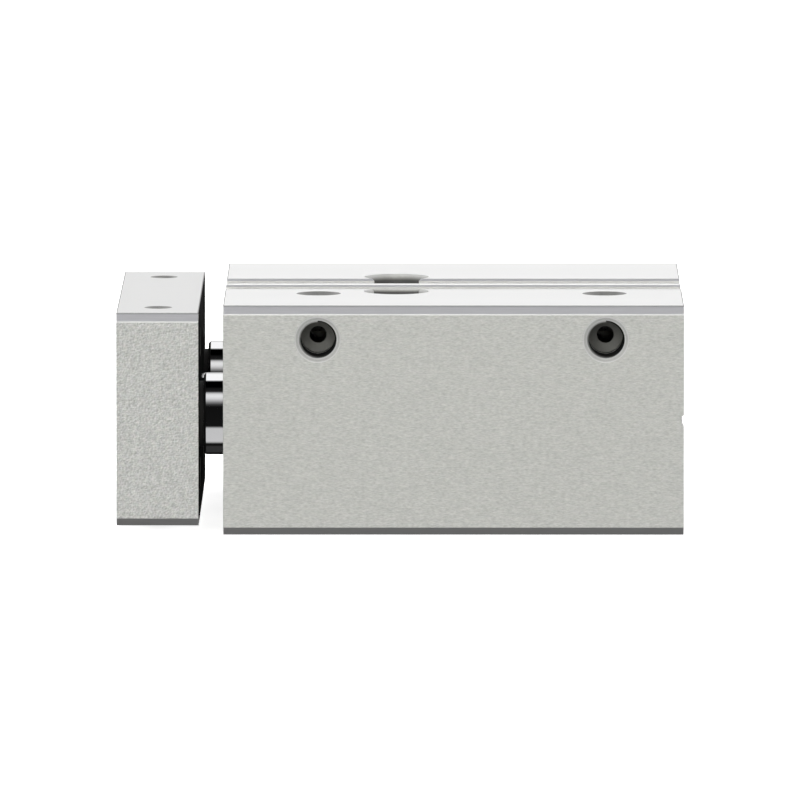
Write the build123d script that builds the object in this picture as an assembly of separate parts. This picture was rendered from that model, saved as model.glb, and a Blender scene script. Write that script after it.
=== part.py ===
from build123d import *
import math
import os

# Guided pneumatic cylinder: one piston in the middle of a flat aluminium housing, a guide rod on
# each side of it, and a yoke plate outside that joins the three rods. Drawn fully retracted.
# Frame: +X runs from the yoke to the rear face, +Y to the right when looking towards the yoke
# from behind, +Z up. The origin is the centre of the housing's base. Sizes are in millimetres.

# Travel
stroke = 25.0
stop_clearance = 0.2

# Housing section
housing_width = 58.0
housing_height = 28.0
edge_chamfer = 1.0

# Sensor slots in the top
slot_spacing = 7.6
slot_opening = 5.6
slot_inner_width = 6.8
slot_depth = 4.6
slot_lip = 1.2
slot_edge_chamfer = 0.25
slot_corner_radius = 0.4

# Cylinder bore, end caps and their retaining rings
bore_diameter = 12.0
cap_seat_diameter = 15.0
ring_recess = 0.7
ring_thickness = 1.0
ring_groove_play = 0.1
ring_groove_depth = 0.35
ring_width = 1.3
ring_gap_angle = 26.0
ring_lug_radius = 1.5
ring_lug_hole_radius = 0.8
front_cap_length = 7.8
rear_cap_length = 4.8
cap_chamfer = 0.4
seat_clearance = 0.02
oring_section = 1.5
oring_groove_width = 2.0
oring_groove_from_face = 1.3

# Rod gland in the front cap
gland_lip = 1.0
rod_seal_diameter = 10.0
rod_seal_length = 2.4
rod_bush_diameter = 8.0
rod_relief = 0.3

# End-stop buffers
buffer_thickness = 1.5
buffer_inner_diameter = 7.0
buffer_bore_gap = 0.3

# Piston
piston_nose_diameter = 9.8
piston_front_nose = 1.5
piston_rear_nose = 2.5
piston_disc_thickness = 3.0
piston_disc_gap = 0.1
magnet_thickness = 1.6
magnet_radial_gap = 0.7
magnet_hub_diameter = 6.0
seal_groove_width = 1.6
seal_groove_depth = 1.7
seal_lip_thickness = 0.5
seal_bore_gap = 0.05
nut_across_flats = 7.0
nut_thickness = 2.2
nut_pocket_play = 0.15

# Piston rod
piston_rod_diameter = 6.0
piston_rod_shoulder_depth = 2.0
piston_spigot_diameter = 4.0
piston_spigot_recess = 0.2
running_clearance = 0.03

# Guide rods, their bushes and wipers
guide_spacing = 40.0
guide_rod_diameter = 10.0
guide_rod_rear_inset = 1.0
guide_rod_chamfer = 0.8
guide_neck_diameter = 8.0
guide_neck_visible = 0.55
guide_bush_wall = 1.0
guide_bush_length = 10.0
guide_bush_overrun = 1.0
guide_bush_chamfer = 0.3
guide_bore_relief = 0.4
wiper_recess = 0.6
wiper_thickness = 2.0
wiper_wall = 1.5
wiper_play = 0.4

# Yoke plate
yoke_gap = 3.0
yoke_thickness = 10.0
yoke_width = 56.0
yoke_height = 26.0
yoke_rod_pocket = 1.8
yoke_thread_spacing_y = 24.0
yoke_thread_spacing_z = 16.0
yoke_edge_thread_depth = 6.0

# Screws: shank and head sizes
m5_diameter = 5.0
m5_head_diameter = 8.5
m5_head_height = 5.0
m5_key = 4.0
m5_key_depth = 2.5
m5_length = 12.0
m3_diameter = 3.0
m3_head_diameter = 5.5
m3_head_height = 3.0
m3_key = 2.5
m3_key_depth = 1.5
m3_length = 12.0
head_recess = 0.2
head_bevel = 0.4
head_play = 0.25
shank_play = 0.15
screw_hole_run_out = 1.5

# Threaded holes, drawn at a plain wall radius
m5_thread_diameter = 4.6
m5_core_diameter = 4.2
m4_thread_diameter = 3.6
m3_thread_diameter = 2.75
m5_countersink = 0.3
m4_countersink = 0.4
m3_countersink = 0.33
drill_tip_angle = 118.0

# Air ports
port_countersink = 0.5
port_thread_depth = 5.0
port_core_depth = 6.3
port_drill_diameter = 2.06
port_below_top = 4.1
front_port_from_buffer = 0.5
rear_port_from_buffer = 1.5
top_port_offset = 12.4
top_port_depth = 6.5
top_port_countersink = 0.42
plug_length = 4.0
plug_recess = 0.4
plug_bevel = 0.3
plug_key = 2.5
plug_key_depth = 2.0

# Housing fixings
mounting_hole_from_front = 21.0
mounting_hole_spacing_x = 20.0
mounting_hole_spacing_y = 19.0
mounting_hole_diameter = 4.3
counterbore_diameter = 8.0
counterbore_depth = 4.5
base_thread_depth = 6.0
rear_thread_spacing_y = 26.0
rear_thread_spacing_z = 16.0
rear_thread_depth = 5.0
vent_width = 1.2
vent_depth = 0.35

# Stations along X, counted from the housing's front face
piston_main = 2 * piston_disc_thickness + magnet_thickness
piston_length = piston_front_nose + piston_main + piston_rear_nose
front_cap_start = ring_recess + ring_thickness
front_cap_end = front_cap_start + front_cap_length
front_stop = front_cap_end + buffer_thickness
piston_start = front_stop + stop_clearance + stroke
piston_end = piston_start + piston_length
rear_stop = piston_end + stop_clearance
rear_cap_start = rear_stop + buffer_thickness
rear_cap_end = rear_cap_start + rear_cap_length
housing_length = rear_cap_end + ring_thickness + ring_recess
front_bush_start = wiper_recess + wiper_thickness + wiper_play
guide_rod_end = housing_length - guide_rod_rear_inset
rear_bush_end = guide_rod_end - stroke - guide_bush_overrun
rear_bush_start = rear_bush_end - guide_bush_length

# Places in the part's frame
front_x = -housing_length / 2
rear_x = housing_length / 2
axis_z = housing_height / 2
yoke_rear_x = front_x - yoke_gap
yoke_front_x = yoke_rear_x - yoke_thickness
yoke_mid_x = yoke_rear_x - yoke_thickness / 2
yoke_top_z = axis_z + yoke_height / 2
yoke_bottom_z = axis_z - yoke_height / 2
pocket_x = yoke_rear_x - yoke_rod_pocket
front_port_x = front_x + front_stop + front_port_from_buffer
rear_port_x = front_x + rear_stop - rear_port_from_buffer
port_z = housing_height - port_below_top
mounting_x = front_x + mounting_hole_from_front
guide_sides = {"left": -guide_spacing / 2, "right": guide_spacing / 2}

# Radii that several pieces share
bore_r = bore_diameter / 2
cap_seat_r = cap_seat_diameter / 2
ring_groove_r = cap_seat_r + ring_groove_depth
piston_rod_r = piston_rod_diameter / 2
guide_rod_r = guide_rod_diameter / 2
guide_bore_r = guide_rod_r + guide_bush_wall
wiper_seat_r = guide_rod_r + wiper_wall
m5_thread_r = m5_thread_diameter / 2
m4_thread_r = m4_thread_diameter / 2
m3_thread_r = m3_thread_diameter / 2


def turned(corners, y=0.0):
    """Solid of revolution about an axis along X at height axis_z, from (x, radius) corners."""
    section = make_face(Polyline(*corners, close=True))
    return Pos(0, y, axis_z) * revolve(section, Axis.X)


def shaft(x_from, x_to, radius, y=0.0, z=axis_z):
    """Plain cylinder along X."""
    return Pos((x_from + x_to) / 2, y, z) * Rot(0, 90, 0) * Cylinder(radius, x_to - x_from)


def sunk(mouth, outward, corners):
    """Cutter turned about a hole's axis, from (radius, depth) corners counted from its mouth."""
    outline = [(0, 0)] + [(radius, -depth) for radius, depth in corners]
    if corners[-1][0] > 0:
        outline.append((0, -corners[-1][1]))
    section = Plane.XZ * make_face(Polyline(*outline, close=True))
    return Plane(origin=mouth, z_dir=outward) * revolve(section, Axis.Z)


def cone_depth(radius, tip_radius=0.0):
    """Depth of the cone that a drill leaves between two radii."""
    return (radius - tip_radius) / math.tan(math.radians(drill_tip_angle / 2))


def tapped(mouth, outward, radius, depth, bevel):
    """Blind threaded hole with a countersunk mouth and the drill's tip at the bottom."""
    tip = (0, depth + cone_depth(radius))
    return sunk(mouth, outward, [(radius + bevel, 0), (radius, bevel), (radius, depth), tip])


def grid(spacing_y, spacing_z):
    """The four (y, z) places of a rectangle about the cylinder's axis."""
    sides = (-1, 1)
    return [(a * spacing_y / 2, axis_z + b * spacing_z / 2) for a in sides for b in sides]


def hexagon(across_flats):
    """Flat hexagon for keys and nuts."""
    return RegularPolygon(across_flats / 2, 6, major_radius=False)


def bevelled_bar(x_from, length, width, height, z_bottom):
    """Bar along X whose four long edges are bevelled."""
    section = Pos(0, z_bottom + height / 2) * Rectangle(width, height)
    section = chamfer(section.vertices(), edge_chamfer)
    return extrude(Plane(origin=(x_from, 0, 0), x_dir=(0, 1, 0), z_dir=(1, 0, 0)) * section, length)


def sensor_slot(y):
    """Full-length T-shaped cutter for one sensor slot."""
    opening = slot_opening / 2
    inner = slot_inner_width / 2
    top = housing_height
    lip = top - slot_lip
    floor = top - slot_depth
    right = [
        (opening + slot_edge_chamfer, top),
        (opening, top - slot_edge_chamfer),
        (opening, lip),
        (inner, lip),
        (inner, floor),
    ]
    left = [(-side, z) for side, z in reversed(right)]
    outline = make_face(Polyline(*right, *left, close=True))
    corners = [v for v in outline.vertices() if v.Y < floor + slot_corner_radius]
    section = Pos(y, 0) * fillet(corners, slot_corner_radius)
    plane = Plane(origin=(front_x, 0, 0), x_dir=(0, 1, 0), z_dir=(1, 0, 0))
    return extrude(plane * section, housing_length)


def cylinder_bore():
    """The middle bore: ring grooves and cap seats at both ends, the piston's bore between."""
    entry = cap_seat_r + cap_chamfer
    front = [
        (0, 0),
        (0, entry),
        (cap_chamfer, cap_seat_r),
        (ring_recess, cap_seat_r),
        (ring_recess, ring_groove_r),
        (front_cap_start, ring_groove_r),
        (front_cap_start, cap_seat_r),
        (front_cap_end, cap_seat_r),
        (front_cap_end, bore_r),
    ]
    rear = [
        (rear_cap_start, bore_r),
        (rear_cap_start, cap_seat_r),
        (rear_cap_end, cap_seat_r),
        (rear_cap_end, ring_groove_r),
        (rear_cap_end + ring_thickness, ring_groove_r),
        (rear_cap_end + ring_thickness, cap_seat_r),
        (housing_length - cap_chamfer, cap_seat_r),
        (housing_length, entry),
        (housing_length, 0),
    ]
    return turned([(front_x + x, radius) for x, radius in front + rear])


def guide_bore(y):
    """One guide bore: the wiper's seat, the bushes' bore and a clearance bore open at the rear."""
    wiper_end = wiper_recess + wiper_thickness
    clearance_r = guide_rod_r + guide_bore_relief
    corners = [
        (0, 0),
        (0, wiper_seat_r + guide_bush_chamfer),
        (guide_bush_chamfer, wiper_seat_r),
        (wiper_end, wiper_seat_r),
        (wiper_end, guide_bore_r),
        (rear_bush_end, guide_bore_r),
        (rear_bush_end, clearance_r),
        (housing_length - guide_bush_chamfer, clearance_r),
        (housing_length, clearance_r + guide_bush_chamfer),
        (housing_length, 0),
    ]
    return turned([(front_x + x, radius) for x, radius in corners], y)


def port(x):
    """Side port, top port and the drilled way from both to the cylinder bore."""
    core_r = m5_core_diameter / 2
    drill_r = port_drill_diameter / 2
    side_mouth = (x, -housing_width / 2, port_z)
    reach = housing_width / 2 - top_port_offset
    side = [
        (m5_thread_r + port_countersink, 0),
        (m5_thread_r, port_countersink),
        (m5_thread_r, port_thread_depth),
        (core_r, port_thread_depth),
        (core_r, port_core_depth),
        (drill_r, port_core_depth + cone_depth(core_r, drill_r)),
        (drill_r, reach),
    ]
    top = [
        (m5_thread_r + top_port_countersink, 0),
        (m5_thread_r, top_port_countersink),
        (m5_thread_r, top_port_depth),
        (0, top_port_depth + cone_depth(m5_thread_r)),
    ]
    inner_end = Vector(x, -bore_r + drill_r, axis_z + drill_r)
    outer_end = Vector(x, -top_port_offset, housing_height - top_port_depth)
    slope = outer_end - inner_end
    way = Plane(origin=inner_end, z_dir=slope) * extrude(Circle(drill_r), slope.length)
    cutters = sunk(side_mouth, (0, -1, 0), side)
    cutters += sunk((x, -top_port_offset, housing_height), (0, 0, 1), top)
    return cutters + way


def mounting_hole(x, y):
    """Through hole: counterbored for a screw head above, threaded from below."""
    shank_r = mounting_hole_diameter / 2
    head_r = counterbore_diameter / 2
    above = [(head_r, 0), (head_r, counterbore_depth), (shank_r, counterbore_depth)]
    above.append((shank_r, housing_height))
    wide = m5_thread_r + m5_countersink
    below = [(wide, 0), (m5_thread_r, m5_countersink), (m5_thread_r, base_thread_depth)]
    return sunk((x, y, housing_height), (0, 0, 1), above) + sunk((x, y, 0), (0, 0, -1), below)


def vent():
    """Shallow groove across the rear face that lets the three bores breathe when it is covered."""
    return Pos(rear_x, 0, axis_z) * Box(2 * vent_depth, housing_width, vent_width)


def make_housing():
    """Extruded and machined aluminium body."""
    body = bevelled_bar(front_x, housing_length, housing_width, housing_height, 0)
    body -= cylinder_bore()
    body -= vent()
    for y in guide_sides.values():
        body -= guide_bore(y)
    for x in (front_port_x, rear_port_x):
        body -= port(x)
    for side in (-1, 1):
        hole_y = side * mounting_hole_spacing_y / 2
        body -= sensor_slot(side * slot_spacing / 2)
        body -= mounting_hole(mounting_x, hole_y)
        base_mouth = (mounting_x + mounting_hole_spacing_x, hole_y, 0)
        body -= tapped(base_mouth, (0, 0, -1), m5_thread_r, base_thread_depth, m5_countersink)
    for y, z in grid(rear_thread_spacing_y, rear_thread_spacing_z):
        body -= tapped((rear_x, y, z), (1, 0, 0), m4_thread_r, rear_thread_depth, m4_countersink)
    return body


def cap_outline(length, inner_corners, groove_start):
    """Corners of an end cap with a bevelled rim and an O-ring groove."""
    outer = cap_seat_r - seat_clearance
    groove_r = cap_seat_r - oring_section
    groove_end = groove_start + oring_groove_width
    rim = [
        (0, outer - cap_chamfer),
        (cap_chamfer, outer),
        (groove_start, outer),
        (groove_start, groove_r),
        (groove_end, groove_r),
        (groove_end, outer),
        (length - cap_chamfer, outer),
        (length, outer - cap_chamfer),
    ]
    return rim + inner_corners


def make_front_cap():
    """End cap with the rod gland: a lip, the seal's groove and the bush's seat."""
    lip_r = piston_rod_r + rod_relief
    seal_r = rod_seal_diameter / 2
    bush_r = rod_bush_diameter / 2
    bush_start = gland_lip + rod_seal_length
    gland = [
        (front_cap_length, bush_r),
        (bush_start, bush_r),
        (bush_start, seal_r),
        (gland_lip, seal_r),
        (gland_lip, lip_r),
        (0, lip_r),
    ]
    groove_start = front_cap_length - oring_groove_from_face - oring_groove_width
    outline = cap_outline(front_cap_length, gland, groove_start)
    return turned([(front_x + front_cap_start + x, radius) for x, radius in outline])


def make_rear_cap():
    """Blind end cap."""
    outline = cap_outline(rear_cap_length, [(rear_cap_length, 0), (0, 0)], oring_groove_from_face)
    return turned([(front_x + rear_cap_start + x, radius) for x, radius in outline])


def make_cap_oring(groove_start):
    """O-ring squeezed between its groove's floor and the cap's seat, its section an octagon."""
    low = cap_seat_r - oring_section + seat_clearance
    high = cap_seat_r - seat_clearance
    middle_x = groove_start + oring_groove_width / 2
    middle_r = (low + high) / 2
    sides = 8
    octagon = RegularPolygon((high - low) / 2, sides, major_radius=False, rotation=180 / sides)
    return Pos(0, 0, axis_z) * revolve(Pos(middle_x, middle_r) * octagon, Axis.X)


def make_front_cap_bush():
    """Plain bearing for the piston rod."""
    inner = piston_rod_r + running_clearance
    outer = rod_bush_diameter / 2 - seat_clearance
    start = front_x + front_cap_start + gland_lip + rod_seal_length
    end = front_x + front_cap_end
    return turned([(start, inner), (start, outer), (end, outer), (end, inner)])


def lip_seal(x_back, x_open, back_radii, lip_radii, y=0.0):
    """Rod or piston seal: a solid back and a lip each side of a V-shaped groove."""
    low, high = back_radii
    lip_low, lip_high = lip_radii
    depth = (x_open - x_back) / 2
    middle = (lip_low + lip_high) / 2
    corners = [
        (x_back, low),
        (x_back, high),
        (x_back + depth, high),
        (x_open, lip_high),
        (x_open, lip_high - seal_lip_thickness),
        (x_back + depth, middle),
        (x_open, lip_low + seal_lip_thickness),
        (x_open, lip_low),
        (x_back + depth, low),
    ]
    return turned(corners, y)


def make_front_cap_seal():
    """Rod seal, open towards the pressure."""
    start = front_x + front_cap_start + gland_lip + seat_clearance
    end = start + rod_seal_length - 2 * seat_clearance
    outer = rod_seal_diameter / 2 - seat_clearance
    back_r = piston_rod_r + rod_relief
    lip_r = piston_rod_r + running_clearance
    return lip_seal(start, end, (back_r, outer), (lip_r, outer))


def make_retaining_ring(x_from):
    """Internal retaining ring with two pierced lugs."""
    outer = ring_groove_r - seat_clearance
    inner = cap_seat_r - ring_width
    lug_centre_r = inner
    half_gap = math.radians(ring_gap_angle / 2)
    lug_angle = half_gap + ring_lug_radius / lug_centre_r
    reach = 2 * outer
    wedge = Polyline(
        (0, 0),
        (-reach * math.sin(half_gap), reach * math.cos(half_gap)),
        (reach * math.sin(half_gap), reach * math.cos(half_gap)),
        close=True,
    )
    section = Circle(outer) - Circle(inner)
    for side in (-1, 1):
        place = Pos(side * lug_centre_r * math.sin(lug_angle), lug_centre_r * math.cos(lug_angle))
        section += (place * Circle(ring_lug_radius)) & Circle(outer)
    section -= make_face(wedge)
    for side in (-1, 1):
        place = Pos(side * lug_centre_r * math.sin(lug_angle), lug_centre_r * math.cos(lug_angle))
        section -= place * Circle(ring_lug_hole_radius)
    plane = Plane(origin=(x_from, 0, axis_z), x_dir=(0, 1, 0), z_dir=(1, 0, 0))
    return extrude(plane * section, ring_thickness - ring_groove_play)


def make_buffer(x_from):
    """Elastic washer that stops the piston."""
    outer = bore_r - buffer_bore_gap
    inner = buffer_inner_diameter / 2
    x_to = x_from + buffer_thickness
    return turned([(x_from, inner), (x_from, outer), (x_to, outer), (x_to, inner)])


def make_guide_bush(y, start):
    """Plain bearing for a guide rod, bevelled inside and out."""
    inner = guide_rod_r + running_clearance
    outer = guide_bore_r - seat_clearance
    c = guide_bush_chamfer
    x_from = front_x + start
    x_to = x_from + guide_bush_length
    corners = [
        (x_from, inner + c),
        (x_from, outer - c),
        (x_from + c, outer),
        (x_to - c, outer),
        (x_to, outer - c),
        (x_to, inner + c),
        (x_to - c, inner),
        (x_from + c, inner),
    ]
    return turned(corners, y)


def make_wiper(y):
    """Wiper ring that keeps dirt out of a guide bore."""
    outer = wiper_seat_r - seat_clearance
    back_r = guide_rod_r + guide_bore_relief
    lip_r = guide_rod_r + running_clearance
    back = front_x + wiper_recess + wiper_thickness
    front = front_x + wiper_recess
    half = (front + back) / 2
    corners = [(back, back_r), (back, outer), (front, outer), (front, lip_r), (half, back_r)]
    return turned(corners, y)


def make_port_plug(x):
    """Socket screw that closes a top port."""
    top = housing_height - plug_recess
    radius = m5_thread_r - seat_clearance
    body = Pos(x, -top_port_offset, top - plug_length / 2) * Cylinder(radius, plug_length)
    rim = body.edges().filter_by(GeomType.CIRCLE)
    body = chamfer(rim, plug_bevel)
    socket = extrude(hexagon(plug_key), -plug_key_depth)
    return body - Pos(x, -top_port_offset, top) * socket


def screw_passage(y, diameter, head_diameter, head_height):
    """Counterbored hole for a rod's screw."""
    seat_x = yoke_front_x + head_height + head_recess
    head = shaft(yoke_front_x, seat_x, head_diameter / 2 + head_play, y)
    return head + shaft(yoke_front_x, yoke_rear_x, diameter / 2 + shank_play, y)


def make_yoke_plate():
    """Plate that joins the three rods and carries the load."""
    plate = bevelled_bar(yoke_front_x, yoke_thickness, yoke_width, yoke_height, yoke_bottom_z)
    neck_r = guide_neck_diameter / 2 + seat_clearance
    for y in guide_sides.values():
        plate -= screw_passage(y, m5_diameter, m5_head_diameter, m5_head_height)
        plate -= shaft(pocket_x, yoke_rear_x, neck_r, y)
        for z, up in ((yoke_top_z, 1), (yoke_bottom_z, -1)):
            mouth = (yoke_mid_x, y, z)
            plate -= tapped(mouth, (0, 0, up), m3_thread_r, yoke_edge_thread_depth, m3_countersink)
    plate -= screw_passage(0, m3_diameter, m3_head_diameter, m3_head_height)
    plate -= shaft(pocket_x, yoke_rear_x, piston_rod_r + seat_clearance)
    wide = m4_thread_r + m4_countersink
    for y, z in grid(yoke_thread_spacing_y, yoke_thread_spacing_z):
        through = [(wide, 0), (m4_thread_r, m4_countersink), (m4_thread_r, yoke_thickness)]
        plate -= sunk((yoke_front_x, y, z), (-1, 0, 0), through)
    return plate


def make_cap_screw(y, diameter, head_diameter, head_height, key, key_depth, length):
    """Socket head cap screw, its head sunk in the yoke plate."""
    head_x = yoke_front_x + head_recess
    seat_x = head_x + head_height
    head = shaft(head_x, seat_x, head_diameter / 2, y)
    front_rim = head.edges().filter_by(GeomType.CIRCLE).sort_by(Axis.X)[0]
    head = chamfer(front_rim, head_bevel)
    plane = Plane(origin=(head_x, y, axis_z), x_dir=(0, 1, 0), z_dir=(1, 0, 0))
    socket = extrude(plane * hexagon(key), key_depth)
    return head - socket + shaft(seat_x, seat_x + length, diameter / 2, y)


def screw_hole_depth(head_height, length):
    """How deep a yoke screw reaches into its rod, with the hole's run-out."""
    seat_x = yoke_front_x + head_recess + head_height
    return seat_x + length - pocket_x + screw_hole_run_out


def make_guide_rod(y):
    """Ground guide rod: a thinner neck seated in the yoke, a bevelled rear end."""
    neck_r = guide_neck_diameter / 2
    hole_r = m5_diameter / 2 + seat_clearance
    hole_end = pocket_x + screw_hole_depth(m5_head_height, m5_length)
    shoulder_x = yoke_rear_x + guide_neck_visible
    rear = front_x + guide_rod_end
    corners = [
        (pocket_x, hole_r),
        (pocket_x, neck_r),
        (shoulder_x, neck_r),
        (shoulder_x, guide_rod_r - guide_bush_chamfer),
        (shoulder_x + guide_bush_chamfer, guide_rod_r),
        (rear - guide_rod_chamfer, guide_rod_r),
        (rear, guide_rod_r - guide_rod_chamfer),
        (rear, 0),
        (hole_end + cone_depth(hole_r), 0),
        (hole_end, hole_r),
    ]
    return turned(corners, y)


def make_piston_rod():
    """Piston rod: screwed to the yoke at the front, a threaded spigot through the piston."""
    hole_r = m3_diameter / 2 + seat_clearance
    hole_end = pocket_x + screw_hole_depth(m3_head_height, m3_length)
    shoulder = front_x + piston_start + piston_rod_shoulder_depth
    spigot_r = piston_spigot_diameter / 2
    spigot_end = front_x + piston_end - piston_spigot_recess
    corners = [
        (pocket_x, hole_r),
        (pocket_x, piston_rod_r),
        (shoulder, piston_rod_r),
        (shoulder, spigot_r),
        (spigot_end, spigot_r),
        (spigot_end, 0),
        (hole_end + cone_depth(hole_r), 0),
        (hole_end, hole_r),
    ]
    return turned(corners)


def disc_rim(start):
    """Corners of a piston disc's rim with its seal groove."""
    outer = bore_r - piston_disc_gap
    land = (piston_disc_thickness - seal_groove_width) / 2
    groove_r = outer - seal_groove_depth
    end = start + piston_disc_thickness
    return [
        (start, outer),
        (start + land, outer),
        (start + land, groove_r),
        (end - land, groove_r),
        (end - land, outer),
        (end, outer),
    ]


def make_piston_front_disc():
    """Front half of the piston, seated on the rod's shoulder."""
    nose_r = piston_nose_diameter / 2
    spigot_r = piston_spigot_diameter / 2 + seat_clearance
    rod_r = piston_rod_r + seat_clearance
    start = front_x + piston_start
    disc_start = start + piston_front_nose
    disc_end = disc_start + piston_disc_thickness
    corners = [(start, rod_r), (start, nose_r), (disc_start, nose_r)]
    corners += disc_rim(disc_start)
    corners += [
        (disc_end, spigot_r),
        (start + piston_rod_shoulder_depth, spigot_r),
        (start + piston_rod_shoulder_depth, rod_r),
    ]
    return turned(corners)


def make_piston_rear_disc():
    """Rear half of the piston: the magnet's hub in front, the nut's pocket behind."""
    nose_r = piston_nose_diameter / 2
    spigot_r = piston_spigot_diameter / 2 + seat_clearance
    hub_r = magnet_hub_diameter / 2
    pocket_r = nut_across_flats / math.sqrt(3) + nut_pocket_play
    end = front_x + piston_end
    disc_end = end - piston_rear_nose
    disc_start = disc_end - piston_disc_thickness
    hub_start = disc_start - magnet_thickness
    corners = [(hub_start, spigot_r), (hub_start, hub_r), (disc_start, hub_r)]
    corners += disc_rim(disc_start)
    corners += [
        (disc_end, nose_r),
        (end, nose_r),
        (end, pocket_r),
        (disc_end, pocket_r),
        (disc_end, spigot_r),
    ]
    return turned(corners)


def make_magnet():
    """Magnet ring that the sensors read, between the piston's discs."""
    inner = magnet_hub_diameter / 2 + seat_clearance
    outer = bore_r - magnet_radial_gap
    end = front_x + piston_end - piston_rear_nose - piston_disc_thickness
    start = end - magnet_thickness
    return turned([(start, inner), (start, outer), (end, outer), (end, inner)])


def make_piston_seal(disc_start, faces_front):
    """Piston seal in its disc's groove, open towards its own side's pressure."""
    land = (piston_disc_thickness - seal_groove_width) / 2
    near = disc_start + land + seat_clearance
    far = disc_start + piston_disc_thickness - land - seat_clearance
    low = bore_r - piston_disc_gap - seal_groove_depth + seat_clearance
    high = bore_r - piston_disc_gap
    x_back, x_open = (far, near) if faces_front else (near, far)
    return lip_seal(x_back, x_open, (low, high), (low, bore_r - seal_bore_gap))


def make_piston_nut():
    """Thin nut on the rod's spigot."""
    start = front_x + piston_end - piston_rear_nose
    plane = Plane(origin=(start, 0, axis_z), x_dir=(0, 1, 0), z_dir=(1, 0, 0))
    section = hexagon(nut_across_flats) - Circle(piston_spigot_diameter / 2 + seat_clearance)
    return extrude(plane * section, nut_thickness)


def save(name, *solids):
    """Writes one node, with a solid for each copy of the piece."""
    shape = solids[0] if len(solids) == 1 else Compound(children=list(solids))
    export_step(shape, f"parts/{name}.step")


def main():
    os.makedirs("parts", exist_ok=True)
    save("housing", make_housing())
    save("front_cap", make_front_cap())
    save("front_cap_bush", make_front_cap_bush())
    save("front_cap_seal", make_front_cap_seal())
    oring_from_end = oring_groove_from_face + oring_groove_width
    save("front_cap_oring", make_cap_oring(front_x + front_cap_end - oring_from_end))
    save("front_retaining_ring", make_retaining_ring(front_x + ring_recess + ring_groove_play / 2))
    save("rear_cap", make_rear_cap())
    save("rear_cap_oring", make_cap_oring(front_x + rear_cap_start + oring_groove_from_face))
    save("rear_retaining_ring", make_retaining_ring(front_x + rear_cap_end + ring_groove_play / 2))
    save("front_buffer", make_buffer(front_x + front_cap_end))
    save("rear_buffer", make_buffer(front_x + rear_stop))
    save("front_port_plug", make_port_plug(front_port_x))
    save("rear_port_plug", make_port_plug(rear_port_x))
    for side, y in guide_sides.items():
        save(f"guide_bush_front_{side}", make_guide_bush(y, front_bush_start))
        save(f"guide_bush_rear_{side}", make_guide_bush(y, rear_bush_start))
        save(f"guide_wiper_{side}", make_wiper(y))
        save(f"guide_rod_{side}", make_guide_rod(y))
    m5_sizes = (m5_diameter, m5_head_diameter, m5_head_height, m5_key, m5_key_depth, m5_length)
    m3_sizes = (m3_diameter, m3_head_diameter, m3_head_height, m3_key, m3_key_depth, m3_length)
    save("guide_rod_screws", *[make_cap_screw(y, *m5_sizes) for y in guide_sides.values()])
    save("piston_rod_screw", make_cap_screw(0, *m3_sizes))
    save("yoke_plate", make_yoke_plate())
    save("piston_rod", make_piston_rod())
    save("piston_front_disc", make_piston_front_disc())
    save("piston_rear_disc", make_piston_rear_disc())
    save("magnet_ring", make_magnet())
    front_disc_start = front_x + piston_start + piston_front_nose
    rear_disc_start = front_x + piston_end - piston_rear_nose - piston_disc_thickness
    save("piston_seal_front", make_piston_seal(front_disc_start, True))
    save("piston_seal_rear", make_piston_seal(rear_disc_start, False))
    save("piston_nut", make_piston_nut())


main()
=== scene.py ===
import math

import bmesh
import bpy
from bpy.props import FloatProperty, FloatVectorProperty, PointerProperty
from bpy.types import Operator, Panel, PropertyGroup
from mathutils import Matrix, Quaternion, Vector


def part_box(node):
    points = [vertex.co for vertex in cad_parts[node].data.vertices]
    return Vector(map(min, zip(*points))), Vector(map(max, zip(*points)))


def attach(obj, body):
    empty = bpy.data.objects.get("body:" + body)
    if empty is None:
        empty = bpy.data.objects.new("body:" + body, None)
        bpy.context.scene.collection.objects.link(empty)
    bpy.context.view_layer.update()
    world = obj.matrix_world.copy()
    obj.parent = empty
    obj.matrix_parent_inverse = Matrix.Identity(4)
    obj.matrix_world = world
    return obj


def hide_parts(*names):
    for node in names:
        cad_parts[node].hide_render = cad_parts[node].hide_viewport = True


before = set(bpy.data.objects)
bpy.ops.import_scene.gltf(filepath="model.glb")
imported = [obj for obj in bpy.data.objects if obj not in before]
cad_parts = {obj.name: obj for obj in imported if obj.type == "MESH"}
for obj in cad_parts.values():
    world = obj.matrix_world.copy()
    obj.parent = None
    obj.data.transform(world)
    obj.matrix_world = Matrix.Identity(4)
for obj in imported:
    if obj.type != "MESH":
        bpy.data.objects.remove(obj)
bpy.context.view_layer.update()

bl_info = {
    "name": "Guided cylinder finishes",
    "version": (1, 0, 0),
    "blender": (4, 5, 0),
    "location": "3D View > Sidebar > Cylinder",
    "description": "Dresses a guided pneumatic cylinder and sets up its studio",
    "category": "Object",
}

MM = 0.001
HOUSING_LOW, HOUSING_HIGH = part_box("housing")
YOKE_LOW, YOKE_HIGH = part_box("yoke_plate")
AXIS_Z = (HOUSING_LOW.z + HOUSING_HIGH.z) / 2
NEAR = 0.01 * MM
BAR_CHAMFER = 1.0 * MM
VENT_WIDTH = 1.2 * MM
VENT_DEPTH = 0.35 * MM

# Supply ports on the narrow side and plugged ports on the top, which share their X
PORT_X = (-16.5 * MM, 18.5 * MM)
PORT_Z = 23.9 * MM
PORT_RIM_RADIUS = 2.8 * MM
PORT_RIM_REACH = 2.9 * MM
PORT_WALL_RADIUS = 2.4 * MM
PORT_DEPTH = 12 * MM
PORT_FADE = (-28.7 * MM, -27.9 * MM)
TOP_PORT_Y = -12.4 * MM
TOP_RIM_RADIUS = 3 * MM
TOP_RIM_DEPTH = 1 * MM

# Sensor slots and counterbores in the housing's top
SLOT_DEPTH = 4.9 * MM
SLOT_REACH_Y = 7.3 * MM
COUNTERBORE_REACH_Y = 13.8 * MM
LIP_DEPTH = 1.3 * MM

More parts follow.
